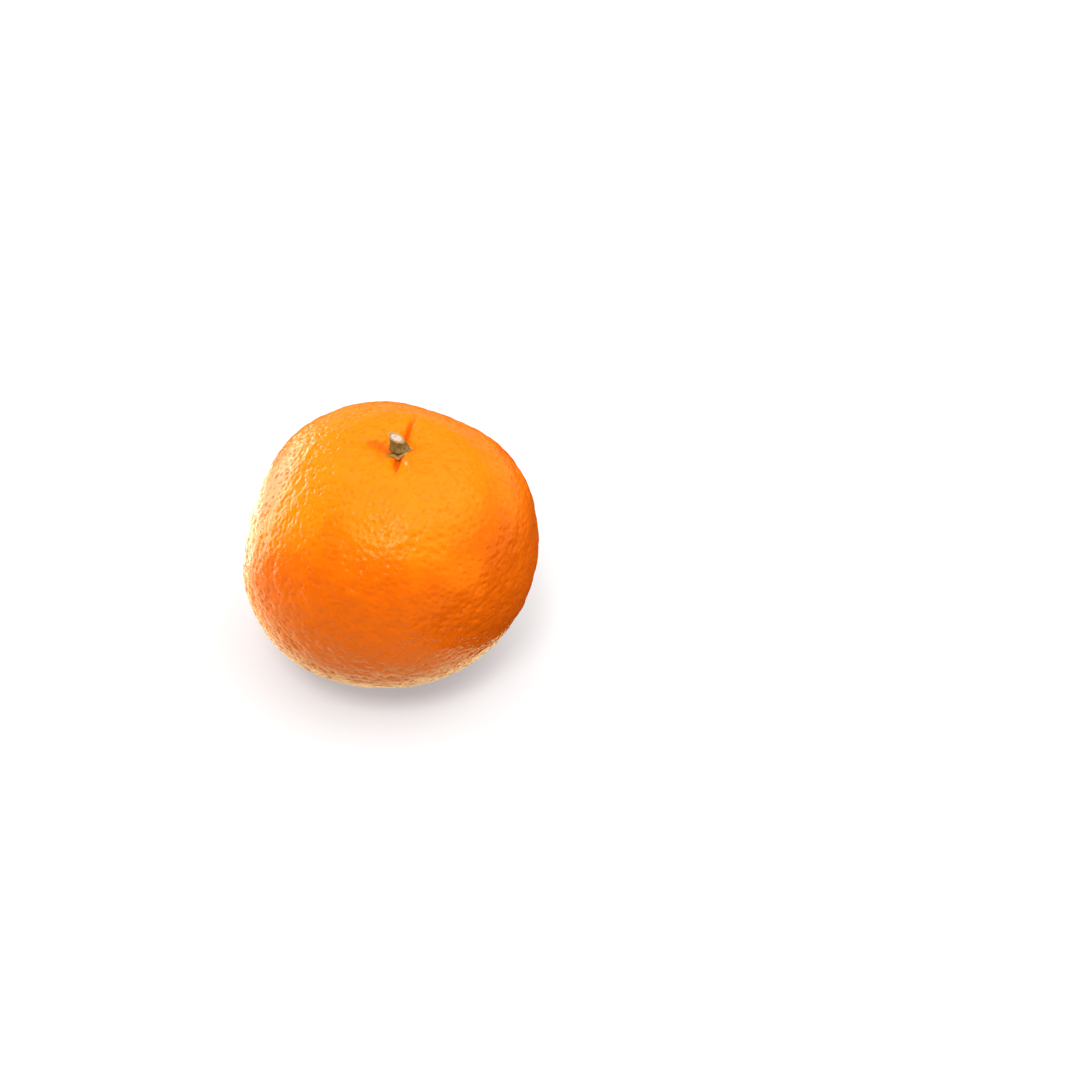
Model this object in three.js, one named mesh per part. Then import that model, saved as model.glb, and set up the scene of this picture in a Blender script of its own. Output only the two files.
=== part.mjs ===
// A whole tangerine, picked with a short stub of its stem, resting on the flat spot under it.
// Sizes are in millimetres and angles in degrees. +Z is up, along the fruit's core, and the fruit's
// bottom is at the origin. A heading is an angle seen from above, from +X towards +Y.
//
// The fruit is one solid ball. The calyx is the small dry star that held it to the twig, and the
// stem stub is what the shears left of the twig. Each is a lathe blank whose rows of points are
// placed by a rule: the ball's has its dimple, furrows and lumps, the calyx's presses it onto the
// peel, and the stub's leans it and slants its cut.

import * as THREE from "three";

const { clamp, degToRad, smoothstep } = THREE.MathUtils;

// The fruit. Its ball is measured before the stem end sinks in and the foot presses flat.
const WIDTH = 67.6; // side to side, across the belt
const DEPTH = 66.4; // front to back, across the belt
const CROWN = 32.4; // from the belt up to the top of the ball
const BELT_HEIGHT = 29.6; // from the flat spot up to the widest part
const FOOT_RADIUS = 7.5; // of the flat spot that it rests on
const FULLNESS = 0.97; // 1 is an ellipse, and less is boxier
const STEM_OFFSET = 3.8; // how far the stem end sits towards +X from the middle
const STEM_OFFSET_START = 0.15; // the share of the crown, from the belt, where that begins

// The hollow that the calyx sits in, and the puckers that run out of it.
const DIMPLE_DEPTH = 2.7;
const DIMPLE_RADIUS = 8.5;
const FURROW_START = 1.6; // from the core, under the calyx
const FURROWS = [
  { heading: 70, length: 13.5, depth: 1.9, width: 1.2 },
  { heading: 118, length: 8, depth: 0.8, width: 1.2 },
  { heading: 168, length: 10.5, depth: 1.5, width: 1.5 },
  { heading: 218, length: 6.5, depth: 0.4, width: 1.2 },
  { heading: 264, length: 8, depth: 1.2, width: 0.8 },
  { heading: 16, length: 6, depth: 0.8, width: 1 },
];

// Low swellings, and flats where height is negative. rise is the angle above the belt.
const LUMPS = [
  { heading: 38, rise: 73, spread: 11, height: 0.8 }, // the pad beside the longest furrow
  { heading: 130, rise: 74, spread: 14, height: 0.3 },
  { heading: 168, rise: 14, spread: 27, height: -1.9 },
  { heading: 146, rise: 40, spread: 26, height: 1.8 },
  { heading: 104, rise: 42, spread: 18, height: 0.5 },
  { heading: 60, rise: 40, spread: 24, height: -1.6 },
  { heading: 14, rise: 10, spread: 26, height: 0.9 },
  { heading: 218, rise: -32, spread: 28, height: 0.6 },
  { heading: 268, rise: -42, spread: 20, height: -0.4 },
  { heading: 318, rise: -10, spread: 28, height: -0.4 },
  { heading: 280, rise: 24, spread: 28, height: 0.4 },
];
const FOOT_CALM = 9; // the lumps fade out this far above the flat spot

// The scar of the blossom, in the middle of the flat spot.
const SCAR_RADIUS = 2.4;
const SCAR_DEPTH = 0.5;

// The calyx: a flat collar as wide as the stub's foot, and five lobes that run out from it.
const SEAT_GAP = 0.3; // between pieces that rest on each other
const LOBES = [
  { heading: 195, reach: 1.2 },
  { heading: 270, reach: 0.5 },
  { heading: 2, reach: 1 },
  { heading: 52, reach: 0.9 },
  { heading: 122, reach: 1.1 },
]; // reach is from the collar's edge to a lobe's tip
const LOBE_NOTCH = 0.1; // from the collar's edge to the notch between two lobes
const LOBE_HALF_ANGLE = 34;
const CALYX_EDGE = 0.5; // its thickness at the rim
const COLLAR_HEIGHT = 0.5; // what the collar adds to that
const COLLAR_SLOPE = 0.3; // how far its side runs out from the stub's foot

// The stem stub, cut at a slant.
const STUB_RADIUS = 1.6;
const STUB_FLARE = 0.4; // what its foot adds to that
const STUB_LENGTH = 1.8; // along its middle
const STUB_LEAN = 9; // away from upright, towards +heading 180
const CUT_SLANT = 29; // the cut falls away towards +X
const BARK_ROUND = 0.14; // how far the bark's edge is rounded in at the cut

const STUB_FOOT_RADIUS = STUB_RADIUS + STUB_FLARE;
const COLLAR_RADIUS = STUB_FOOT_RADIUS + COLLAR_SLOPE;

// How finely the solids are faceted.
const AROUND = 72;
const RING_STEP_NEAR = 0.75; // between rings on the puckered stem end
const RING_STEP_FAR = 2.3; // and on the rest of the ball
const NEAR_RADIUS = 14;
const CALYX_AROUND = 60;
const STUB_AROUND = 28;

/** A direction from a heading and a rise above the level. */
function direction(heading, rise) {
  const level = Math.cos(degToRad(rise));
  return new THREE.Vector3(
    level * Math.cos(degToRad(heading)),
    level * Math.sin(degToRad(heading)),
    Math.sin(degToRad(rise)),
  );
}

/** A bell that is 1 at 0 and has fallen to about a third at one width. */
function bell(distance, width) {
  return Math.exp(-((distance / width) ** 2));
}

/** How deep the hollow around the stem is at a distance from the core, seen from above. */
function dimpleDepth(radius) {
  return DIMPLE_DEPTH * bell(radius, DIMPLE_RADIUS);
}

/** How deep the furrows are at a distance and heading from the core, both seen from above. */
function furrowDepth(radius, around) {
  return FURROWS.reduce((sum, furrow) => {
    const turn = around - degToRad(furrow.heading);
    const along = radius * Math.cos(turn);
    const across = radius * Math.sin(turn);
    const opens = smoothstep(along, 0, FURROW_START);
    const closes = 1 - smoothstep(along, furrow.length * 0.35, furrow.length);
    return sum + furrow.depth * opens * closes * bell(across, furrow.width);
  }, 0);
}

/** How far the lumps push the peel out in one direction from the middle of the ball. */
function swell(outward) {
  return LUMPS.reduce((sum, lump) => {
    const angle = outward.angleTo(direction(lump.heading, lump.rise));
    return sum + lump.height * bell(angle, degToRad(lump.spread));
  }, 0);
}

/** The polar angle, from the stem end, at which the ball is this wide above the belt. */
function polarAtRadius(radius) {
  return Math.asin((radius / (WIDTH / 2)) ** (1 / FULLNESS));
}

const footPolar = Math.PI - polarAtRadius(FOOT_RADIUS);
const bowl = BELT_HEIGHT / Math.abs(Math.cos(footPolar)) ** FULLNESS;

/** The point of the peel at a polar angle from the stem end and an angle around the core. Without
 * its furrows, it is the level that the calyx lies on, bridging them. */
function skin(polar, around, furrowed = true) {
  const wide = Math.max(Math.sin(polar), 0) ** FULLNESS;
  const high = Math.abs(Math.cos(polar)) ** FULLNESS;
  const point = new THREE.Vector3(
    (WIDTH / 2) * wide * Math.cos(around),
    (DEPTH / 2) * wide * Math.sin(around),
    polar < Math.PI / 2 ? CROWN * high : -bowl * high,
  );
  const outward = point.clone().normalize();
  point.z += BELT_HEIGHT;
  const free = smoothstep(point.z, 0, FOOT_CALM);
  point.addScaledVector(outward, free * swell(outward));
  if (polar < Math.PI / 2) {
    const above = (point.z - BELT_HEIGHT) / CROWN;
    const radius = (WIDTH / 2) * wide;
    point.z -= dimpleDepth(radius) + (furrowed ? furrowDepth(radius, around) : 0);
    point.x += STEM_OFFSET * smoothstep(above, STEM_OFFSET_START, 1);
  }
  return point;
}

/** Polar angles for the ball's rings, close together on the stem end, down to the foot's edge. */
function ringPolars() {
  const polars = [0];
  const meanRadius = (WIDTH + DEPTH) / 4;
  const nearEnd = polarAtRadius(NEAR_RADIUS);
  const nearRings = Math.round((meanRadius * nearEnd) / RING_STEP_NEAR);
  const farRings = Math.round((meanRadius * (footPolar - nearEnd)) / RING_STEP_FAR);
  for (let i = 1; i <= nearRings; i += 1) polars.push((nearEnd * i) / nearRings);
  for (let i = 1; i <= farRings; i += 1) {
    polars.push(nearEnd + ((footPolar - nearEnd) * i) / farRings);
  }
  return polars;
}

/** A solid on a lathe's grid, about the core. Each row gives the place of its points around the
 * core, from the row at the bottom of the core to the one at the top of it. */
function turned(rows, segments) {
  const last = rows.length - 1;
  const blank = rows.map((row, i) => new THREE.Vector2(i === 0 || i === last ? 0 : 1, i));
  const geometry = new THREE.LatheGeometry(blank, segments);
  const place = geometry.attributes.position;
  for (let i = 0; i < place.count; i += 1) {
    const segment = Math.floor(i / rows.length) % segments; // the last column closes on the first
    const point = rows[i % rows.length]((2 * Math.PI * segment) / segments);
    place.setXYZ(i, point.x, point.y, point.z);
  }
  geometry.deleteAttribute("normal");
  geometry.deleteAttribute("uv");
  geometry.computeVertexNormals();
  return geometry;
}

/** The whole fruit, from the blossom scar, over the flat spot and the belt, to the stem end. */
function fruitGeometry() {
  const level = (radius, height) => (around) =>
    new THREE.Vector3(radius * Math.cos(around), radius * Math.sin(around), height);
  const foot = [
    level(0, SCAR_DEPTH),
    level(SCAR_RADIUS / 2, SCAR_DEPTH * 0.8),
    level(SCAR_RADIUS, 0),
    level((FOOT_RADIUS + SCAR_RADIUS) / 2, 0),
  ];
  const rings = ringPolars().map((polar) => (around) => skin(polar, around));
  return turned([...foot, ...rings.reverse()], AROUND);
}

/** How far the calyx reaches from the core at a heading: long at a lobe, short at a notch. */
function calyxReach(around) {
  const reaches = LOBES.map((lobe) => {
    const turn = Math.abs(around - degToRad(lobe.heading)) % (2 * Math.PI);
    const away = Math.min(turn, 2 * Math.PI - turn) / degToRad(LOBE_HALF_ANGLE);
    return lobe.reach - (lobe.reach - LOBE_NOTCH) * clamp(away, 0, 1) ** 0.8;
  });
  return COLLAR_RADIUS + Math.max(...reaches);
}

/** The calyx, pressed onto the peel: its underside follows the skin, and its top stands over it.
 * A row has its share of the reach, and its level from 0, underneath, to 1, on top. */
function calyxGeometry() {
  const row = (share, level) => (around) => {
    const radius = share * calyxReach(around);
    const point = skin(polarAtRadius(radius), around, false);
    const collar = COLLAR_HEIGHT * (1 - smoothstep(radius, STUB_FOOT_RADIUS, COLLAR_RADIUS));
    point.z += SEAT_GAP + level * (CALYX_EDGE + collar);
    return point;
  };
  const shares = [0, 0.3, 0.6, 0.72, 0.84, 0.95];
  const under = shares.map((share) => row(share, 0));
  const top = shares.map((share) => row(share, 1));
  return turned([...under, row(1, 0.5), ...top.reverse()], CALYX_AROUND);
}

/** The stub, standing on its own origin, which is the middle of its foot. A row has its radius, and
 * its share of the way up. */
function stubGeometry() {
  const lean = Math.tan(degToRad(STUB_LEAN));
  const slant = Math.tan(degToRad(CUT_SLANT));
  const row = (radius, share) => (around) => {
    const x = radius * Math.cos(around);
    const z = share * (STUB_LENGTH - slant * x);
    return new THREE.Vector3(x - lean * z, radius * Math.sin(around), z);
  };
  const shares = [0, 0.12, 0.3, 0.65, 0.93];
  const wall = shares.map((share) => row(STUB_RADIUS + STUB_FLARE * bell(share, 0.3), share));
  const cut = [row(STUB_RADIUS - BARK_ROUND, 1), row(0, 1)];
  return turned([row(0, 0), ...wall, ...cut], STUB_AROUND);
}

/** One named piece. */
function piece(name, geometry, color, roughness) {
  const material = new THREE.MeshStandardMaterial({ color, roughness, metalness: 0 });
  const mesh = new THREE.Mesh(geometry, material);
  mesh.name = name;
  return mesh;
}

const tangerine = new THREE.Group();
const fruit = piece("fruit", fruitGeometry(), 0xf98a12, 0.42);
const calyx = piece("calyx", calyxGeometry(), 0x8a7040, 0.8);
const stemStub = piece("stem_stub", stubGeometry(), 0x80603a, 0.85);

// The stub stands over the calyx's highest point, one gap above it.
calyx.geometry.computeBoundingBox();
const core = skin(0, 0);
stemStub.position.set(core.x, core.y, calyx.geometry.boundingBox.max.z + SEAT_GAP);
tangerine.add(fruit, calyx, stemStub);

// The lumps push the fruit a little off the core, so the whole is moved back to its own middle.
const box = new THREE.Box3().setFromObject(tangerine, true);
const middle = box.getCenter(new THREE.Vector3());
tangerine.position.set(-middle.x, -middle.y, 0);

export default tangerine;
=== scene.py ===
# %% [markdown]
# # A tangerine, from its peel to the stub of its stem
# A fruit is a simple shape with a rich surface. This lesson builds one in three pieces, around a plain
# CAD model that already fixes its size: the peel, the calyx and the stem stub. Most of the work is in
# the peel, because what makes citrus look like citrus is how light breaks up on its oil glands.
#
# The CAD model is loaded first. Everything is in metres, +Z is up, and the fruit rests on z = 0.

# %% Load the CAD model
import math
import random

import bmesh
import bpy
import numpy as np
from mathutils import Euler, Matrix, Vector, noise
from mathutils.bvhtree import BVHTree
from mathutils.kdtree import KDTree


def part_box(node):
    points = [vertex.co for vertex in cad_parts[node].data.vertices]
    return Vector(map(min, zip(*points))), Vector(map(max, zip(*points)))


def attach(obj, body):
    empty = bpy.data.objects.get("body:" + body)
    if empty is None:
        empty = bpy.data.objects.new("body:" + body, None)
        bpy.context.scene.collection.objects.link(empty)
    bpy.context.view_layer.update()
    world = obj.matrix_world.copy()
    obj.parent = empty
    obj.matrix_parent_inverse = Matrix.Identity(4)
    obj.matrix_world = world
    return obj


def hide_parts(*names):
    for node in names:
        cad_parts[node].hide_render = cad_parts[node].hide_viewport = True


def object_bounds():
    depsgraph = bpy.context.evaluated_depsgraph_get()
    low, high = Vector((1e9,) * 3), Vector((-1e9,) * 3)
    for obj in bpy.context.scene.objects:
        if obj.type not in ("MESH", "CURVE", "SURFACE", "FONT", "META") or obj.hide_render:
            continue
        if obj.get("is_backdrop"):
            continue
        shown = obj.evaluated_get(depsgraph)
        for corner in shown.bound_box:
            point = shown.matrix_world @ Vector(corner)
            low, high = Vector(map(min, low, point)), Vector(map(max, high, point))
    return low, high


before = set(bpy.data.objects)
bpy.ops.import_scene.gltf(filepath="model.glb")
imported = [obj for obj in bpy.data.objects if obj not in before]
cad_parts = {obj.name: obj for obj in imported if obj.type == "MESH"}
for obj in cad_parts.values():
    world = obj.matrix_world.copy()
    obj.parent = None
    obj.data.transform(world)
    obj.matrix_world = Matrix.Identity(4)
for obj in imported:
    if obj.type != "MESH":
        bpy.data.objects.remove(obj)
cad_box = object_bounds()
MM = 0.001

ball_low, ball_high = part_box("fruit")
stub_low, stub_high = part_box("stem_stub")
_, calyx_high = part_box("calyx")
ball_middle = (ball_low + ball_high) / 2
core = Vector(((stub_low.x + stub_high.x) / 2, (stub_low.y + stub_high.y) / 2, 0))
print("The ball, in mm:", [round(side / MM, 1) for side in ball_high - ball_low])
print("The core comes out of it at, in mm:", [round(part / MM, 2) for part in core])

# %% [markdown]
# ## Small tools that every piece uses
# A heading is an angle seen from above, from +X towards +Y. Most shapes here are made of soft steps
# and bells, so both have a short function. A finished bmesh becomes an object at the origin, with its
# place in its mesh, because then the object's own coordinates are the frame's and a pattern that reads
# them lies where the maths says.

# %% Small tools
def soft_step(value, start, end):
    """0 before start, 1 after end, and smooth between them, on a number or an array."""
    share = np.clip((value - start) / (end - start), 0, 1)
    return share * share * (3 - 2 * share)


def bell(distance, width):
    """1 at 0, and about a third at one width."""
    return np.exp(-((distance / width) ** 2))


def heading_of(x, y):
    """The heading of a place around the core, in degrees."""
    return math.degrees(math.atan2(y, x)) % 360


def turn_between(first, second):
    """The angle between two headings, from 0 to 180 degrees."""
    turn = abs(first - second) % 360
    return min(turn, 360 - turn)


def finish_piece(bm, name, smooth=True):
    """Turns a bmesh into a named object, with its faces pointing out."""
    bmesh.ops.recalc_face_normals(bm, faces=bm.faces)
    mesh = bpy.data.meshes.new(name)
    bm.to_mesh(mesh)
    bm.free()
    mesh.polygons.foreach_set("use_smooth", [smooth] * len(mesh.polygons))
    piece = bpy.data.objects.new(name, mesh)
    bpy.context.scene.collection.objects.link(piece)
    print(name, "has", len(mesh.vertices), "points and", len(mesh.polygons), "faces")
    return piece


# %% [markdown]
# ## A smooth copy of the ball
# The CAD ball is right in size and shape, but it is made of flat facets. Its lines could be drawn
# again by hand, but then the two shapes would drift apart. A better way is to merge a copy of it, join
# its triangles into quads and let Catmull-Clark subdivision round them off. The copy isn't shown. It
# goes into a BVH tree, which answers two questions quickly: where does a ray hit the skin, and which
# way does the skin face there?

# %% Round off a copy of the CAD ball
MERGE_DISTANCE = 0.001 * MM
QUAD_ANGLE = math.radians(60)  # how far from flat and square a joined quad may be
CLEAR_ABOVE = 20 * MM  # rays down onto the skin start this far above the ball


def smooth_copy_of(node, levels):
    """A BVH tree of a CAD node's shape, rounded off by subdivision."""
    bm = bmesh.new()
    bm.from_mesh(node.data)
    bmesh.ops.remove_doubles(bm, verts=bm.verts, dist=MERGE_DISTANCE)
    bmesh.ops.join_triangles(bm, faces=bm.faces, angle_face_threshold=QUAD_ANGLE,
                             angle_shape_threshold=QUAD_ANGLE)
    mesh = bpy.data.meshes.new("guide")
    bm.to_mesh(mesh)
    bm.free()
    guide = bpy.data.objects.new("guide", mesh)
    bpy.context.scene.collection.objects.link(guide)
    rounding = guide.modifiers.new("rounding", "SUBSURF")
    rounding.levels = levels
    rounding.render_levels = levels
    tree = BVHTree.FromObject(guide, bpy.context.evaluated_depsgraph_get())
    bpy.data.objects.remove(guide)
    return tree


skin = smooth_copy_of(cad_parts["fruit"], levels=2)


def skin_height(x, y):
    """The height of the skin at the stem end, straight under a point."""
    place, _, _, _ = skin.ray_cast(Vector((x, y, ball_high.z + CLEAR_ABOVE)), Vector((0, 0, -1)))
    return place.z


print("The skin at the core is at, in mm:", round(skin_height(core.x, core.y) / MM, 2))

# %% [markdown]
# ## The peel's grid
# The peel needs a vertex every 0.4 mm all over, to carry its pits. A UV sphere crowds its points at
# the poles, and the stem end is where the eye goes. A subdivided cube, blown up into a ball, spreads
# them evenly. Its rows are bent by a tangent first, which makes the cells nearly equal, and then each
# point flies out from the middle until it meets the smooth skin.
#
# The six sides of the cube also give a tidy UV map, six squares in a 3 by 2 sheet.

# %% Blow a cube up onto the skin
GRID_CUTS = 127  # 128 cells along each side of the cube
CHART_MARGIN = 0.01  # of the sheet, around each of its six squares
CROWN_BIAS = 0.2  # draws the rows together at the stem end, where the finest creases are


def cube_ball():
    """A bmesh of a finely cut cube, and the sheet place of each of its corners as a UV map."""
    bm = bmesh.new()
    bmesh.ops.create_cube(bm, size=2)
    bmesh.ops.subdivide_edges(bm, edges=bm.edges, cuts=GRID_CUTS, use_grid_fill=True)
    sheet = bm.loops.layers.uv.new("OFBake")
    for face in bm.faces:
        middle = face.calc_center_median()
        axis = max(range(3), key=lambda i: abs(middle[i]))
        column, row = axis, int(middle[axis] > 0)
        across, along = [i for i in range(3) if i != axis]
        for loop in face.loops:
            u = (loop.vert.co[across] + 1) / 2
            v = (loop.vert.co[along] + 1) / 2
            u = CHART_MARGIN + u * (1 - 2 * CHART_MARGIN)
            v = CHART_MARGIN + v * (1 - 2 * CHART_MARGIN)
            loop[sheet].uv = ((column + u) / 3, (row + v) / 2)  # 3 squares across, 2 up
    return bm


peel_bm = cube_ball()
directions = np.array([vert.co for vert in peel_bm.verts])
directions = np.tan(directions * math.pi / 4)
directions /= np.linalg.norm(directions, axis=1)[:, None]
polar = np.arccos(np.clip(directions[:, 2], -1, 1))
turned = np.arctan2(directions[:, 1], directions[:, 0])
polar -= CROWN_BIAS * np.sin(polar)
level = np.sin(polar)
directions = np.column_stack((level * np.cos(turned), level * np.sin(turned), np.cos(polar)))

points = np.empty_like(directions)
outward = np.empty_like(directions)
for i, direction in enumerate(directions):
    place, normal, _, _ = skin.ray_cast(ball_middle, Vector(direction))
    points[i] = place
    outward[i] = normal
smooth_points = points.copy()
print("The peel's grid has", len(points), "points")

# %% [markdown]
# ## Creases and waves
# Where the peel puckers into the stem, each broad CAD furrow has a sharp crease along its bottom, and
# finer wrinkles run between them. They could be painted on as bump, but the light at the stem end is
# low and every crease throws a shadow, so they are real. Further out the peel isn't a clean ball
# either: it has low waves, a few millimetres long, which make its highlights wander.
#
# Each crease is a line that runs out from the core at a heading. At a point beside it, the depth
# falls away as a bell across the line and fades out towards the line's end. The peel next to the
# deepest creases swells, and the swellings are lines of the same kind.

# %% Crease and wave the peel
CREASES = [  # heading, start, end, depth, half width and bend, in mm and degrees
    (70, 2.0, 15.0, 0.6, 0.42, 7),
    (159, 2.2, 10.5, 0.4, 0.9, 7),
    (264, 2.0, 10.5, 0.75, 0.42, 5),
    (118, 2.2, 7.0, 0.25, 0.45, 5),
    (16, 2.4, 6.0, 0.25, 0.4, -5),
    (218, 2.4, 6.0, 0.2, 0.45, 6),
    (12, 5.5, 9.5, 0.26, 0.45, -6),
    (337, 7.0, 9.5, 0.24, 0.45, 0),
    (333, 11.0, 18.0, 0.26, 0.5, -8),
    (345, 12.5, 17.0, 0.22, 0.45, 10),
]
RIDGES = [  # the peel beside a crease swells a little: the same numbers, with a height
    (300, 3.2, 9.5, 0.95, 0.75, -16),
    (63, 3.4, 13.5, 0.85, 0.8, 3),
    (183, 3.0, 8.0, 0.2, 0.9, 0),
]
WRINKLES = 15
WRINKLE_DEPTH = 0.1
SHOULDER = 12 * MM  # above the ball's middle, the height from which creases have their full depth
FADE_IN = (-1.2, 0.4)  # mm from a line's start, where it fades in
FADE_OUT = 0.4  # the share of a line's length at which it begins to fade out
WAVES = [(9.0, 0.16), (4.2, 0.12), (2.6, 0.15), (1.3, 0.055)]  # length and height in mm

from_core = (smooth_points - np.array(core)) / MM
core_radius = np.hypot(from_core[:, 0], from_core[:, 1])
core_heading = np.degrees(np.arctan2(from_core[:, 1], from_core[:, 0]))
on_top = soft_step(smooth_points[:, 2], ball_middle.z, ball_middle.z + SHOULDER)


def along_line(heading, start, end, half_width, bend=0.0):
    """How much of a line that runs out from the core is felt at each point, from 0 to 1."""
    bent = heading + bend * (core_radius - start) / (end - start)
    turn = np.radians(core_heading - bent)
    along = core_radius * np.cos(turn)
    across = core_radius * np.sin(turn)
    fade_in = soft_step(along, start + FADE_IN[0], start + FADE_IN[1])
    fade_out = 1 - soft_step(along, start + FADE_OUT * (end - start), end)
    return bell(across, half_width) * fade_in * fade_out * on_top


rise = np.zeros(len(points))
crease_depth = np.zeros(len(points))
for heading, start, end, depth, half_width, bend in CREASES:
    crease_depth += depth * along_line(heading, start, end, half_width, bend)
for heading, start, end, height, half_width, bend in RIDGES:
    rise += height * along_line(heading, start, end, half_width, bend)

dice = random.Random(11)
for _ in range(WRINKLES):
    heading = dice.uniform(0, 360)
    start = dice.uniform(2.6, 3.6)
    end = start + dice.uniform(2.5, 5.5)
    strength = WRINKLE_DEPTH * dice.uniform(0.5, 1.2)
    bend = dice.uniform(-14, 14)
    crease_depth += strength * along_line(heading, start, end, dice.uniform(0.3, 0.55), bend)
rise -= crease_depth

for length, height in WAVES:
    wave = [noise.noise(Vector(point / (length * MM))) for point in smooth_points]
    rise += height * np.array(wave)
print("The creases reach", round(float(crease_depth.max()), 2), "mm below the CAD furrows")

# %% [markdown]
# ## Oil glands
# Under the peel sit thousands of tiny oil glands, and over each one the peel sinks into a pit. They
# never line up, and no two touch, so they can't be a grid or plain random points. Dart throwing gives
# that spacing: random places on the ball are tried one by one, and one is kept only if no kept place
# is too near. Cells of a coarse grid keep that check quick.
#
# Each vertex then sinks by its nearest gland's depth, most at the gland's middle.

# %% Throw the glands and press their pits
GLAND_SPACING = 1.2 * MM  # the least distance between two glands
GLAND_TRIES = 60000
GLAND_RADIUS = (0.42, 0.6)  # mm, of the smallest and the largest
GLAND_DEPTH = (0.09, 0.34)
GLAND_BIAS = 1.5  # above 1, more of them are small


def throw_darts(tries, spacing, seed):
    """Directions from the middle of the ball, about evenly apart on its skin."""
    dart = random.Random(seed)
    radius = (ball_high.x - ball_low.x) / 2
    cells = {}
    kept = []
    for _ in range(tries):
        direction = Vector((dart.gauss(0, 1), dart.gauss(0, 1), dart.gauss(0, 1))).normalized()
        place = direction * radius
        cell = tuple(math.floor(part / spacing) for part in place)
        near = (cells.get((cell[0] + i, cell[1] + j, cell[2] + k), ())
                for i in (-1, 0, 1) for j in (-1, 0, 1) for k in (-1, 0, 1))
        if all((place - other).length > spacing for group in near for other in group):
            cells.setdefault(cell, []).append(place)
            kept.append(direction)
    return kept


gland_directions = throw_darts(GLAND_TRIES, GLAND_SPACING, seed=5)
glands = KDTree(len(gland_directions))
gland_dice = random.Random(8)
gland_sizes = []
for i, direction in enumerate(gland_directions):
    place, _, _, _ = skin.ray_cast(ball_middle, direction)
    glands.insert(place, i)
    share = gland_dice.random() ** GLAND_BIAS
    radius = GLAND_RADIUS[0] + share * (GLAND_RADIUS[1] - GLAND_RADIUS[0])
    depth = GLAND_DEPTH[0] + share * (GLAND_DEPTH[1] - GLAND_DEPTH[0])
    gland_sizes.append((radius, depth))
glands.balance()

pit = np.zeros(len(points))
for i, point in enumerate(smooth_points):
    _, nearest, distance = glands.find(Vector(point))
    radius, depth = gland_sizes[nearest]
    pit[i] = depth * math.exp(-((distance / MM / radius) ** 2))
rise -= pit
print("The peel has", len(gland_directions), "glands")

# %% [markdown]
# ## The blossom scar
# At the other end, in the small hollow that the fruit rests around, is the scar where the flower's
# style broke off. It is a tiny dry button with cracks round it. It is easy to forget, because nobody
# sees it until the fruit is picked up.
#
# The number kept for its colour falls evenly from 1 in the scar's middle to 0 at its reach. A slope
# like that stays round between the vertices, where a sharp step would show their grid.

# %% Raise the scar's button
SCAR_BUTTON = 0.75  # mm, the button's radius
SCAR_HEIGHT = 0.3
SCAR_CRACKS = 9
SCAR_CRACK_DEPTH = 0.12
SCAR_CRACK_RING = 1.5  # mm from the scar's middle to the middle of its cracks
SCAR_CRACK_LENGTH = 0.6  # on each side of that ring
SCAR_CRACK_SHARPNESS = 8
SCAR_REACH = 4.0
UNDER_FROM, UNDER_TO = 2 * MM, 6 * MM  # the heights between which the underside ends

from_scar = (smooth_points - np.array(ball_middle)) / MM
scar_radius = np.hypot(from_scar[:, 0], from_scar[:, 1])
scar_heading = np.arctan2(from_scar[:, 1], from_scar[:, 0])
under = 1 - soft_step(smooth_points[:, 2], UNDER_FROM, UNDER_TO)
scar = np.clip(1 - scar_radius / SCAR_REACH, 0, 1) * under
button = SCAR_HEIGHT * (1 - soft_step(scar_radius, 0.5 * SCAR_BUTTON, 1.4 * SCAR_BUTTON)) * under
cracks = SCAR_CRACK_DEPTH * np.cos(SCAR_CRACKS * scar_heading) ** SCAR_CRACK_SHARPNESS
cracks *= bell(scar_radius - SCAR_CRACK_RING, SCAR_CRACK_LENGTH) * under
print("The scar covers", int((scar > 0.5).sum()), "points")

# %% [markdown]
# ## Shape the peel
# All the layers are now one number for each vertex: how far it moves along the way that the skin
# faces. The pits and the creases are kept as attributes as well, so that the peel's colour can follow
# them exactly: the pits' own darker colour, and painted shade in the creases. Under the fruit nothing
# swells outwards, because there it rests on a table.

# %% Move the peel's points
REST_HEIGHT = 1.5 * MM  # swellings fade out below this height
DEEP_CREASE = 0.5  # mm, the depth that counts as 1 for the colour

rest_share = soft_step(smooth_points[:, 2], 0, REST_HEIGHT)
rise = np.minimum(rise * rest_share, rise) + button - cracks
points = smooth_points + outward * (rise * MM)[:, None]
points[:, 2] = np.maximum(points[:, 2], 0)
for vert, point in zip(peel_bm.verts, points):
    vert.co = point

peel = finish_piece(peel_bm, "peel")


def keep_numbers(piece, name, numbers):
    """Stores one number for each vertex, for the piece's material to read."""
    attribute = piece.data.attributes.new(name, "FLOAT", "POINT")
    attribute.data.foreach_set("value", np.asarray(numbers, dtype=np.float32))


keep_numbers(peel, "gland", np.clip(pit / GLAND_DEPTH[1], 0, 1))
# The crease numbers carry the painted shade of the creases into the peel's colour, and their
# roughness.
keep_numbers(peel, "crease", np.clip(crease_depth / DEEP_CREASE, 0, 1))
keep_numbers(peel, "scar", scar)
moved = [round(float(rise.min()), 2), round(float(rise.max()), 2)]
print("The peel moved from the CAD ball by, in mm:", moved)

# %% [markdown]
# ## The calyx
# The calyx is the dry star of sepals between the stem and the peel. It could be cut out of a sheet,
# but its lobes thin out to the rim and bend with the peel under them. So it starts as a turned disc:
# a profile of a few points is spun around the core, and then each point is moved out to its lobe's
# outline and down onto the skin.

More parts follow.
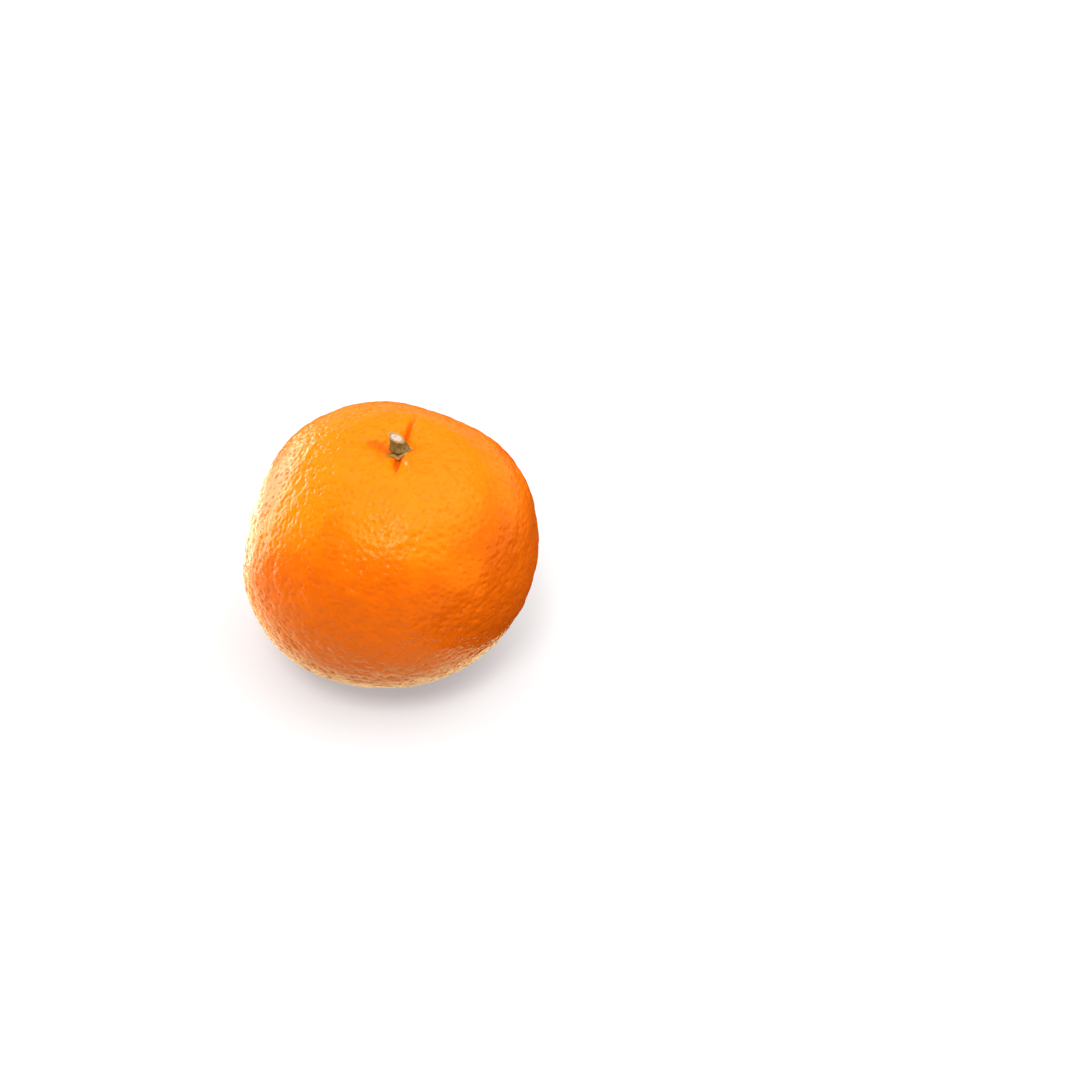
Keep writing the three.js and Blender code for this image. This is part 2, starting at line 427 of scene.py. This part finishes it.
# %% Spin and shape the calyx
SEPALS = [(202, 3.25), (262, 2.3), (316, 2.45), (14, 3.05), (66, 2.8), (125, 3.0)]  # heading and reach
SEPAL_NOTCH = 2.0  # mm from the core to the notches
SEPAL_HALF_ANGLE = 33
SEPAL_SHARPNESS = 0.85  # below 1, a sepal is pointed in its outline
CALYX_STEPS = 168
CALYX_SINK = 0.12  # how far its underside is pressed into the peel
CALYX_THICKNESS = 0.4
CALYX_COLLAR = 0.75  # how much thicker it is round the stem
COLLAR_FROM, COLLAR_TO = 1.5, 2.4  # mm from the core, where the collar slopes down
CALYX_THINNING = 0.2  # how much thinner it is at the rim
CALYX_RIB = 0.16
CALYX_WRINKLE = 0.09
CALYX_CURL = 0.08
CALYX_RAGGED = 0.05  # of the reach


def spin_profile(profile, steps):
    """Turns a line of points (radius, height) about the core into a closed shape, poles and all."""
    bm = bmesh.new()
    verts = [bm.verts.new((radius, 0, height)) for radius, height in profile]
    edges = [bm.edges.new(pair) for pair in zip(verts, verts[1:])]
    bmesh.ops.spin(bm, geom=verts + edges, axis=(0, 0, 1), cent=(0, 0, 0), angle=2 * math.pi,
                   steps=steps, use_merge=True, dvec=(0, 0, 0))
    bmesh.ops.remove_doubles(bm, verts=bm.verts, dist=1e-7)
    return bm


def sepal_reach(heading):
    """How far the calyx reaches from the core, in mm, and how near the middle of a sepal that is."""
    best, nearness = SEPAL_NOTCH, 0.0
    for middle, reach in SEPALS:
        away = min(turn_between(heading, middle) / SEPAL_HALF_ANGLE, 1)
        out = reach - (reach - SEPAL_NOTCH) * away ** SEPAL_SHARPNESS
        if out >= best:
            best, nearness = out, 1 - away
    return best, nearness


def shape_calyx():
    """The calyx, pressed onto the skin."""
    shares = [0, 0.15, 0.3, 0.45, 0.58, 0.68, 0.76, 0.84, 0.91, 0.96, 0.99]
    under = [(share, 0) for share in shares]
    over = [(share, 1) for share in shares]
    bm = spin_profile(under + [(1.0, 0.5)] + over[::-1], CALYX_STEPS)
    worn = bm.verts.layers.float.new("rim")
    for vert in bm.verts:
        share, level = math.hypot(vert.co.x, vert.co.y), vert.co.z
        vert[worn] = float(soft_step(share, 0.7, 1.0))
        heading = heading_of(vert.co.x, vert.co.y)
        reach, nearness = sepal_reach(heading)
        ragged = 1 + CALYX_RAGGED * noise.noise(Vector((heading / 7, 3, 0)))
        radius = share * reach * (1 + (ragged - 1) * share)
        angle = math.radians(heading)
        x = core.x + radius * MM * math.cos(angle)
        y = core.y + radius * MM * math.sin(angle)
        rim = float(soft_step(share, 0.55, 1.0))
        collar = CALYX_COLLAR * float(1 - soft_step(radius, COLLAR_FROM, COLLAR_TO))
        thickness = CALYX_THICKNESS + collar - CALYX_THINNING * rim
        rib = CALYX_RIB * nearness ** 2 * math.sin(math.pi * min(share, 1)) ** 0.5
        wrinkle = CALYX_WRINKLE * noise.noise(Vector((heading / 9, radius * 0.7, 1.7)))
        curl = CALYX_CURL * rim * (nearness + noise.noise(Vector((heading / 25, 9, 0))))
        height = -CALYX_SINK + curl + level * (thickness + rib + wrinkle)
        vert.co = (x, y, skin_height(x, y) + height * MM)
    return bm


calyx = finish_piece(shape_calyx(), "calyx_star")

# %% [markdown]
# ## The stem stub
# The shears left a stub of the woody stem, cut at a slant. It is spun like the calyx, from a profile
# that flares at its foot, runs up the bark, turns over a thin rim and dips into the pale cut. Then its
# points are moved: ribs of bark run up its side, the whole leans, and the cut slants. How far a point
# is inside the cut is kept as an attribute, for the wood's pale colour.

# %% Spin and shape the stub
STUB_RADIUS = 1.6
STUB_OVAL = 0.06  # how far from round it is
STUB_FLARE = 0.55
STUB_FLARE_LENGTH = 0.75
STUB_LEAN = math.radians(9)
CUT_SLANT = math.radians(30)
BARK_RIBS = 11
BARK_RIB_HEIGHT = 0.05
BARK_BUMPS = 0.09
BARK_GRAIN = 0.035
WOOD_GRAIN = 0.03
STUB_STEPS = 144
STUB_SINK = 0.9  # how far below the calyx's top it starts
STUB_RISE = 1.8  # how far its middle rises above the foot of the CAD stub

stub_foot = calyx_high.z - STUB_SINK * MM
stub_length = (stub_low.z - stub_foot) / MM + STUB_RISE


def shape_stub():
    """The stub, and for each of its points how far it lies inside the cut."""
    wall = [(1.0, share) for share in (0, 0.06, 0.13, 0.2, 0.3, 0.42, 0.54, 0.66, 0.78, 0.88, 0.95)]
    rim = [(0.985, 0.985), (0.94, 1.0), (0.88, 1.0)]
    cut = [(0.82, 0.98), (0.72, 0.965), (0.6, 0.96), (0.46, 0.96),
           (0.32, 0.955), (0.2, 0.945), (0.1, 0.94)]
    bm = spin_profile([(0, 0), (0.5, 0)] + wall + rim + cut + [(0, 0.94)], STUB_STEPS)
    inside = bm.verts.layers.float.new("cut")
    worn = bm.verts.layers.float.new("rim")
    for vert in bm.verts:
        share, level = math.hypot(vert.co.x, vert.co.y), vert.co.z
        angle = math.atan2(vert.co.y, vert.co.x)
        around = Vector((math.cos(angle), math.sin(angle), 0))
        vert[inside] = float(level > 0.9) * float(1 - soft_step(share, 0.6, 0.7))
        vert[worn] = float(soft_step(level, 0.9, 0.98))
        height = level * stub_length
        flare = STUB_FLARE * float(bell(height, STUB_FLARE_LENGTH))
        ribs = BARK_RIB_HEIGHT * math.cos(BARK_RIBS * angle + 3 * noise.noise(around * 2))
        bark = BARK_BUMPS * noise.noise(Vector((around.x * 2.4, around.y * 2.4, height * 0.5)))
        bark += BARK_GRAIN * noise.noise(Vector((around.x * 9, around.y * 9, height * 1.2)))
        oval = STUB_OVAL * math.cos(2 * angle - 0.7)
        radius = share * (STUB_RADIUS + flare + (ribs + bark) * (0.4 + 0.6 * (share > 0.9)) + oval)
        x, y = radius * math.cos(angle), radius * math.sin(angle)
        grain = WOOD_GRAIN * noise.noise(Vector((x * 2.2, y * 2.2, 4.1))) * (level > 0.9)
        z = level * (stub_length - math.tan(CUT_SLANT) * x) + grain
        x -= math.tan(STUB_LEAN) * z
        vert.co = (core.x + x * MM, core.y + y * MM, stub_foot + z * MM)
    return bm


stub = finish_piece(shape_stub(), "stub_bark")

# %% [markdown]
# ## Materials as arithmetic
# A material is a graph of nodes, and graphs are hard to read in code. Here a socket is wrapped in a
# small class, so that a sum of two sockets adds a Math node by itself, and a recipe reads like the
# formula that it is. All other nodes come from one method, which takes the node's type, its settings
# and what goes into its sockets.

# %% A wrapper for sockets, and one for materials
class Number:
    """A socket that carries a number. Arithmetic on it adds Math nodes."""

    def __init__(self, finish, socket):
        self.finish = finish
        self.socket = socket

    def _math(self, operation, first, second):
        return self.finish.node("ShaderNodeMath", {"operation": operation}, {0: first, 1: second})

    def __add__(self, other):
        return self._math("ADD", self, other)

    def __sub__(self, other):
        return self._math("SUBTRACT", self, other)

    def __rsub__(self, other):
        return self._math("SUBTRACT", other, self)

    def __mul__(self, other):
        return self._math("MULTIPLY", self, other)

    __radd__ = __add__
    __rmul__ = __mul__


class Finish:
    """A material, with its Principled shader and a method that adds any other node."""

    def __init__(self, name):
        self.material = bpy.data.materials.new(name)
        self.material.use_nodes = True
        self.nodes = self.material.node_tree.nodes
        self.links = self.material.node_tree.links
        self.shader = self.nodes["Principled BSDF"]
        self.place = self.node("ShaderNodeTexCoord", output="Object")

    def node(self, kind, settings=None, inputs=None, output=0):
        """Adds a node. Its settings are made first, then its sockets are linked or set."""
        node = self.nodes.new(kind)
        for key, value in (settings or {}).items():
            if key == "stops":
                self._set_stops(node.color_ramp, value)
            else:
                setattr(node, key, value)
        for key, value in (inputs or {}).items():
            self.feed(node, key, value)
        return Number(self, node.outputs[output])

    def _set_stops(self, ramp, stops):
        """Gives a colour ramp its stops, each a position and a colour."""
        while len(ramp.elements) < len(stops):
            ramp.elements.new(0.5)
        for element, (position, color) in zip(ramp.elements, stops):
            element.position = position
            element.color = (*color, 1)

    def feed(self, node, key, value):
        """Links a wrapped socket into a node's socket, or sets the socket to a plain value."""
        if isinstance(value, Number):
            self.links.new(value.socket, node.inputs[key])
        elif isinstance(value, tuple) and len(value) == 3 and node.inputs[key].type == "RGBA":
            node.inputs[key].default_value = (*value, 1)
        else:
            node.inputs[key].default_value = value

    def shade(self, **values):
        """Sets or links sockets of the shader. A socket's name is written with underscores."""
        for key, value in values.items():
            self.feed(self.shader, key.replace("_", " ").title().replace("Ior", "IOR"), value)

    def noise(self, scale, detail=2.0, roughness=0.5):
        """Fractal noise with this many cells to the metre."""
        settings = {"noise_dimensions": "3D"}
        inputs = {"Vector": self.place, "Scale": scale, "Detail": detail, "Roughness": roughness}
        return self.node("ShaderNodeTexNoise", settings, inputs)

    def cells(self, scale):
        """The distance to the nearest of many scattered points, this many to the metre."""
        inputs = {"Vector": self.place, "Scale": scale}
        return self.node("ShaderNodeTexVoronoi", None, inputs, output="Distance")

    def height(self):
        """The height above the ground, in metres."""
        return self.node("ShaderNodeSeparateXYZ", None, {"Vector": self.place}, output="Z")

    def kept(self, name):
        """A number that the mesh keeps for each of its points."""
        return self.node("ShaderNodeAttribute", {"attribute_name": name}, output="Fac")

    def ramp(self, factor, *stops):
        """A colour that runs through stops, each a position and a colour, as factor grows."""
        return self.node("ShaderNodeValToRGB", {"stops": stops}, {"Fac": factor}, output="Color")

    def fade(self, value, start, end):
        """0 before start, 1 after end, and smooth between them."""
        settings = {"interpolation_type": "SMOOTHSTEP"}
        inputs = {"Value": value, "From Min": start, "From Max": end, "To Min": 0.0, "To Max": 1.0}
        return self.node("ShaderNodeMapRange", settings, inputs, output="Result")

    def blend(self, factor, first, second):
        """Mixes two colours. A factor of 0 is the first."""
        settings = {"data_type": "RGBA", "blend_type": "MIX"}
        return self.node("ShaderNodeMix", settings, {0: factor, 6: first, 7: second}, output=2)

    def bump(self, height, depth, below=None):
        """A bump with its depth in metres, laid over another one where it is given."""
        inputs = {"Height": height, "Distance": depth, "Strength": 1.0}
        if below is not None:
            inputs["Normal"] = below
        return self.node("ShaderNodeBump", None, inputs, output="Normal")

    def wear(self, piece):
        """Puts the material on a piece."""
        piece.data.materials.clear()
        piece.data.materials.append(self.material)


# %% [markdown]
# ## The peel's finish
# Ripe peel is a deep orange that gives back almost no blue. Its top is painted yellower, as painted
# light from the boxes above, its foot is painted deeper, as painted shade, and the colours drift into
# each other in slow patches. The pits are a little darker and redder, the creases are painted browner
# as painted shade, and a few tiny brown flecks are where it rubbed on a leaf. The blossom scar is dry
# and brown inside a tan ring. Each is one blend, laid over the colour before it.
#
# The shine of peel is weak. Its wax reflects much less than glass does, so the index of refraction is
# low, and the reflection is tinted, because much of it comes back from just under the wax, where the
# orange has already taken its blue. Light also travels a short way through the peel, which softens the
# pits, so there is a little subsurface scattering. The finest glands are too small for the mesh, and
# they are bump.

# %% The peel's finish
PEEL_DEEP = (0.62, 0.103, 0.0006)
# Painted shade: a deeper orange towards the foot, for the shade under the fruit.
PEEL_FOOT_SHADE = (0.46, 0.078, 0.0006)
# Painted light: a yellower orange laid over the top of the peel for the strong light from above, and
# in slow patches of the peel's own tone.
PEEL_YELLOW_AND_TOP_LIGHT = (0.87, 0.18, 0.0014)
PEEL_PIT = (0.64, 0.085, 0.0005)
# Painted shade: a browner orange laid into the creases, for the shade that falls in them.
PEEL_CREASE_SHADE = (0.5, 0.075, 0.002)
PEEL_FLECK = (0.25, 0.09, 0.02)
SCAR_TAN = (0.5, 0.2, 0.04)
SCAR_BROWN = (0.2, 0.1, 0.035)
WAX_IOR = 1.23
WAX_TINT = (1.0, 0.72, 0.45)
GLOW_SHARES = (1.0, 0.35, 0.08)  # how far red, green and blue travel in the peel, of 1 mm
# Painted shade: between these heights the deeper foot colour fades out.
FOOT_SHADE_FROM, FOOT_SHADE_TO = 4 * MM, 34 * MM  # the heights between which the deep foot fades out
# Painted light: between these heights the peel is painted yellower towards its top, where the boxes
# overhead light it most.
TOP_LIGHT_FROM, TOP_LIGHT_TO = 37 * MM, 56 * MM  # the heights between which the peel turns yellower
TOP_LIGHT_DRIFT = 14 * MM  # how far the patches shift that change up and down
PATCHES, MOTTLE, FLECKS = 55, 420, 95  # how many of each there are to the metre
FINE_GLANDS, GRAIN = 1150, 5200
FINE_GLAND_DEPTH, GRAIN_DEPTH = 0.06 * MM, 0.012 * MM


def peel_finish():
    """Waxy, pitted orange peel."""
    finish = Finish("waxy_orange_peel")
    patches = finish.fade(finish.noise(PATCHES, 3.0, 0.55), 0.35, 0.68)
    mottle = finish.fade(finish.noise(MOTTLE, 3.0, 0.6), 0.3, 0.75)
    # Painted light: the top of the peel is painted yellower for the light from above; the patches
    # shift its edge and add the peel's own tone.
    painted_top_light = finish.fade(finish.height() + TOP_LIGHT_DRIFT * (patches - 0.5), TOP_LIGHT_FROM, TOP_LIGHT_TO)
    # Painted shade: the foot of the peel is painted deeper, for the shade under the fruit.
    foot = 1 - finish.fade(finish.height(), FOOT_SHADE_FROM, FOOT_SHADE_TO)
    deep = finish.blend(foot, PEEL_DEEP, PEEL_FOOT_SHADE)
    color = finish.blend(painted_top_light * 0.8 + patches * 0.12 + mottle * 0.12, deep, PEEL_YELLOW_AND_TOP_LIGHT)
    pits = finish.kept("gland")
    creases = finish.kept("crease")
    fine_skin = finish.fade(finish.cells(FINE_GLANDS), 0.05, 0.42)
    small_pits = 1 - fine_skin
    color = finish.blend(pits * 0.2 + small_pits * 0.08, color, PEEL_PIT)
    # Painted shade: the creases are painted browner, for the shade that falls in them.
    color = finish.blend(creases * creases * 0.8, color, PEEL_CREASE_SHADE)
    scar = finish.kept("scar") + 0.22 * (finish.noise(1500, 3.0) - 0.5)
    color = finish.blend(finish.fade(scar, 0.35, 0.62) * 0.5, color, SCAR_TAN)
    dry = finish.fade(scar, 0.64, 0.8)
    color = finish.blend(dry * 0.85, color, SCAR_BROWN)
    flecks = 1 - finish.fade(finish.cells(FLECKS), 0.012, 0.035)
    rubbed = finish.fade(finish.noise(40), 0.5, 0.6)
    color = finish.blend(flecks * rubbed * 0.7, color, PEEL_FLECK)

    roughness = 0.18 + 0.07 * mottle + 0.35 * creases + 0.4 * dry
    grain = finish.bump(finish.noise(GRAIN, 3.0, 0.6), GRAIN_DEPTH)
    normal = finish.bump(fine_skin, FINE_GLAND_DEPTH, below=grain)
    finish.shade(base_color=color, roughness=roughness, normal=normal)
    finish.shade(ior=WAX_IOR, specular_tint=WAX_TINT, subsurface_weight=0.1,
                 subsurface_scale=1 * MM, subsurface_radius=GLOW_SHARES)
    return finish


peel_finish().wear(peel)

# %% [markdown]
# ## The finishes of the stem end
# The calyx and the bark dry to an olive brown, with paler tan edges where they wore. The cut is wood,
# a pale pinkish tan that drifts a little, inside the tan edge of the bark.

# %% The finishes of the stem end
DRY_IOR = 1.3  # dry bark and sepals hardly shine
SEPAL_DARK = (0.115, 0.072, 0.016)
SEPAL_OLIVE = (0.21, 0.145, 0.035)
SEPAL_STAIN = (0.36, 0.2, 0.045)
SEPAL_RIM = (0.46, 0.27, 0.065)
BARK_DARK = (0.11, 0.068, 0.016)
BARK_OLIVE = (0.215, 0.148, 0.038)
BARK_RIM = (0.36, 0.24, 0.08)
WOOD_STOPS = [(0.3, (0.38, 0.26, 0.2)), (0.5, (0.5, 0.37, 0.3)), (0.7, (0.62, 0.49, 0.41))]


def calyx_finish():
    """Dry, olive-brown sepals with tan rims."""
    finish = Finish("dry_sepal")
    streaks = finish.fade(finish.noise(900, 4.0, 0.6), 0.3, 0.7)
    stain = finish.fade(finish.noise(350, 2.0), 0.4, 0.65)
    color = finish.blend(streaks, SEPAL_DARK, SEPAL_OLIVE)
    color = finish.blend(stain * 0.5, color, SEPAL_STAIN)
    color = finish.blend(finish.kept("rim") * 0.7, color, SEPAL_RIM)
    rough = finish.noise(2600, 4.0, 0.65)
    finish.shade(base_color=color, roughness=0.66 + 0.16 * streaks)
    finish.shade(normal=finish.bump(rough, 0.07 * MM))
    finish.shade(ior=DRY_IOR)
    return finish


def stub_finish():
    """Brown bark round a pale cut."""
    finish = Finish("stem_wood")
    streaks = finish.fade(finish.noise(1100, 4.0, 0.6), 0.3, 0.7)
    bark = finish.blend(streaks, BARK_DARK, BARK_OLIVE)
    bark = finish.blend(finish.kept("rim") * 0.8, bark, BARK_RIM)
    wood = finish.ramp(finish.noise(1500, 3.0, 0.55), *WOOD_STOPS)
    inside = finish.kept("cut")
    color = finish.blend(finish.fade(inside, 0.35, 0.8), bark, wood)
    finish.shade(base_color=color, roughness=0.7 - 0.12 * inside)
    finish.shade(normal=finish.bump(finish.noise(3200, 4.0, 0.65), 0.05 * MM))
    finish.shade(ior=DRY_IOR)
    return finish


calyx_finish().wear(calyx)
stub_finish().wear(stub)

# %% [markdown]
# ## Join the pieces to the frame
# Each piece replaces its CAD node, which is hidden, and rides on the one body that
# this fruit has.

# %% Ride and replace
PLACES = ((peel, "fruit", "peel"), (calyx, "calyx", "calyx"), (stub, "stem_stub", "stem"))
for piece, node, slot in PLACES:
    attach(piece, "root")
    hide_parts(node)
    print(piece.name, "stands for", node)

# %% [markdown]
# ## A white studio
# Fruit for a shop is often shot on a white table that is lit from below too, so the floor here is pale
# and glows a little, which leaves only a soft shadow. So bright a floor would also light the foot of
# the fruit, which should stay deep, as it does among other fruit. So the floor is tan, without its
# glow, for the rays that gather soft light. Cycles can also aim rays at glowing faces, as it does at
# lamps, and such a ray doesn't tell the floor what it gathers, so that aiming is turned off.
#
# A wide box overhead does most of the lighting, a weaker one on the right fills in, and a small box
# over the camera puts a soft patch of glints on the front. A panel stands low at the back left. The
# eye looks along the left flank there, so that flank mirrors it, and the pits break the mirror image
# up.
#
# The rims of the fruit are seen at a grazing angle, where even weak wax mirrors what lies around it.
# On a real table that would be white paper and other fruit. Here it is a few flat cards on the table
# that only reflections see: cream ones in front and on the left, which give a cream rim, and brown
# ones on the right and behind, which keep those rims orange.

# %% Floor and lights
FLOOR_SIZE = 30.0
FLOOR_DROP = 0.05 * MM  # keeps the floor just clear of the fruit
FLOOR_GREY = (0.42, 0.42, 0.42)
FLOOR_GLOW = 0.34
FLOOR_TAN = (0.34, 0.26, 0.18)  # what the rays that gather soft light see instead
WHITE, BLACK = (1.0, 1.0, 1.0), (0.0, 0.0, 0.0)
CARD_BROWN = (0.3, 0.06, 0.01)
PANELS = [  # name, heading, rise, distance, width, height, power and colour
    ("overhead_box", 90, 84, 1.3, 2.2, 2.0, 27, WHITE),
    ("low_back_left_panel", 148, 6, 0.45, 0.38, 0.13, 2.1, (1, 0.92, 0.78)),
    ("front_box", 258, 60, 1.2, 0.38, 0.34, 9.2, WHITE),
    ("right_box", 345, 50, 1.4, 1.6, 1.4, 12.0, WHITE),
]
CARDS = [  # name, middle, width, depth, lift in mm, colour and glow
    ("right_card", (0.1, 0.05), 0.14, 0.3, 0.3, CARD_BROWN, 0.0),
    ("back_card", (0.04, 0.21), 0.3, 0.26, 0.25, CARD_BROWN, 0.0),
    ("cream_card", (-0.1, -0.2), 0.8, 0.5, 0.1, (0.85, 0.78, 0.42), 1.6),
    ("left_card", (-0.19, 0.085), 0.3, 0.125, 0.2, (1.0, 0.95, 0.72), 5.0),
    ("left_back_card", (-0.19, 0.25), 0.16, 0.2, 0.35, (1.0, 0.86, 0.5), 2.6),
]


def pale_floor():
    """A wide floor, with its top at the height that the fruit rests on."""
    bm = bmesh.new()
    bmesh.ops.create_grid(bm, x_segments=1, y_segments=1, size=FLOOR_SIZE / 2)
    bmesh.ops.translate(bm, verts=bm.verts, vec=(0, 0, cad_box[0].z - FLOOR_DROP))
    floor = finish_piece(bm, "floor", smooth=False)
    finish = Finish("pale_floor")
    soft_light = finish.node("ShaderNodeLightPath", output="Is Diffuse Ray")
    finish.shade(base_color=finish.blend(soft_light, FLOOR_GREY, FLOOR_TAN))
    finish.shade(emission_color=finish.blend(soft_light, WHITE, BLACK))
    finish.shade(emission_strength=FLOOR_GLOW, roughness=0.9, specular_ior_level=0.0)
    finish.material.cycles.emission_sampling = "NONE"
    finish.wear(floor)
    return floor


def panel(name, heading, rise, distance, width, height, power, color):
    """A flat light panel that faces the fruit from a heading and an angle above the level."""
    light = bpy.data.lights.new(name, "AREA")
    light.shape = "RECTANGLE"
    light.size = width
    light.size_y = height
    light.energy = power
    light.color = color
    lamp = bpy.data.objects.new(name, light)
    rise, heading = math.radians(rise), math.radians(heading)
    level = math.cos(rise)
    away = Vector((level * math.cos(heading), level * math.sin(heading), math.sin(rise)))
    lamp.location = ball_middle + away * distance
    lamp.rotation_euler = away.to_track_quat("Z", "Y").to_euler()
    lamp.visible_camera = False
    bpy.context.scene.collection.objects.link(lamp)
    return lamp


def reflected_card(name, middle, width, depth, lift, color, glow):
    """A card on the table that only reflections see."""
    bm = bmesh.new()
    bmesh.ops.create_grid(bm, x_segments=1, y_segments=1, size=0.5)
    bmesh.ops.scale(bm, verts=bm.verts, vec=(width, depth, 1))
    bmesh.ops.translate(bm, verts=bm.verts, vec=(*middle, cad_box[0].z + lift * MM))
    card = finish_piece(bm, name, smooth=False)
    finish = Finish(name + "_paint")
    finish.shade(base_color=color, roughness=0.9, specular_ior_level=0.0)
    finish.shade(emission_color=color, emission_strength=glow)
    finish.material.cycles.emission_sampling = "NONE"
    finish.wear(card)
    card.visible_camera = False
    card.visible_diffuse = False
    card.visible_shadow = False
    return card


pale_floor()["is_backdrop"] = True
for row in PANELS:
    panel(*row)
for row in CARDS:
    reflected_card(*row)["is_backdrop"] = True
print("The studio has", len(PANELS), "light panels and", len(CARDS), "cards")

# %% [markdown]
# ## The sky
# Beyond the floor is a plain white room. How bright it is depends on how high a ray looks: bright at
# the horizon, where it meets the floor, and dim above, so that the boxes do the work up there.

# %% A room that dims upwards
HORIZON_GLOW, CEILING_GLOW = 0.8, 0.18
DIM_FROM, DIM_TO = 0.08, 0.35  # the upward parts of a ray's direction between which it dims

world = bpy.data.worlds.new("white_room")
world.use_nodes = True
nodes, links = world.node_tree.nodes, world.node_tree.links
background = nodes["Background"]
ray_direction = nodes.new("ShaderNodeTexCoord")
ray_parts = nodes.new("ShaderNodeSeparateXYZ")
dimmer = nodes.new("ShaderNodeMapRange")
dimming = {"From Min": DIM_FROM, "From Max": DIM_TO, "To Min": HORIZON_GLOW, "To Max": CEILING_GLOW}
for key, value in dimming.items():
    dimmer.inputs[key].default_value = value
links.new(ray_direction.outputs["Generated"], ray_parts.inputs["Vector"])
links.new(ray_parts.outputs["Z"], dimmer.inputs["Value"])
links.new(dimmer.outputs["Result"], background.inputs["Strength"])
background.inputs["Color"].default_value = (*WHITE, 1)
bpy.context.scene.world = world
bpy.context.scene.view_settings.view_transform = "Standard"
print("The room dims from", HORIZON_GLOW, "at the horizon to", CEILING_GLOW, "above")

# %% [markdown]
# ## The camera
# The camera stands half a metre off with a long lens and looks down at the fruit, level from side to
# side. The fruit isn't in the middle of its view, so the camera is placed from the ray that should
# meet the fruit's middle, and not turned towards it.

# %% Camera
LENS = 80.0  # mm, on a 36 mm sensor
SENSOR = 36.0
LOOK_DOWN = math.radians(44)
AWAY = 0.545  # from the camera to its target, along the camera's own axis
TARGET = Vector((0, 0, 31 * MM))
PLACE_IN_VIEW = (-0.138, -0.0032)  # of the view's width, from its middle, right and up

camera_data = bpy.data.cameras.new("camera")
camera_data.lens = LENS
camera_data.sensor_width = SENSOR
camera_data.clip_start = 0.01
camera_data.clip_end = 20
camera = bpy.data.objects.new("camera", camera_data)
camera.rotation_euler = Euler((math.pi / 2 - LOOK_DOWN, 0, 0))
reach = AWAY * SENSOR / LENS
ray = Vector((PLACE_IN_VIEW[0] * reach, PLACE_IN_VIEW[1] * reach, -AWAY))
camera.location = TARGET - camera.rotation_euler.to_matrix() @ ray
bpy.context.scene.collection.objects.link(camera)
bpy.context.scene.camera = camera
print("The camera is at, in mm:", [round(part / MM) for part in camera.location])

# %% [markdown]
# ## Print the size
# The finished pieces have to keep the CAD model's size, so both boxes are printed.

# %% Print the sizes
visual_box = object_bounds()
for name, box in (("CAD", cad_box), ("Visual", visual_box)):
    print(name, "box, in mm:", [[round(part / MM, 2) for part in corner] for corner in box])
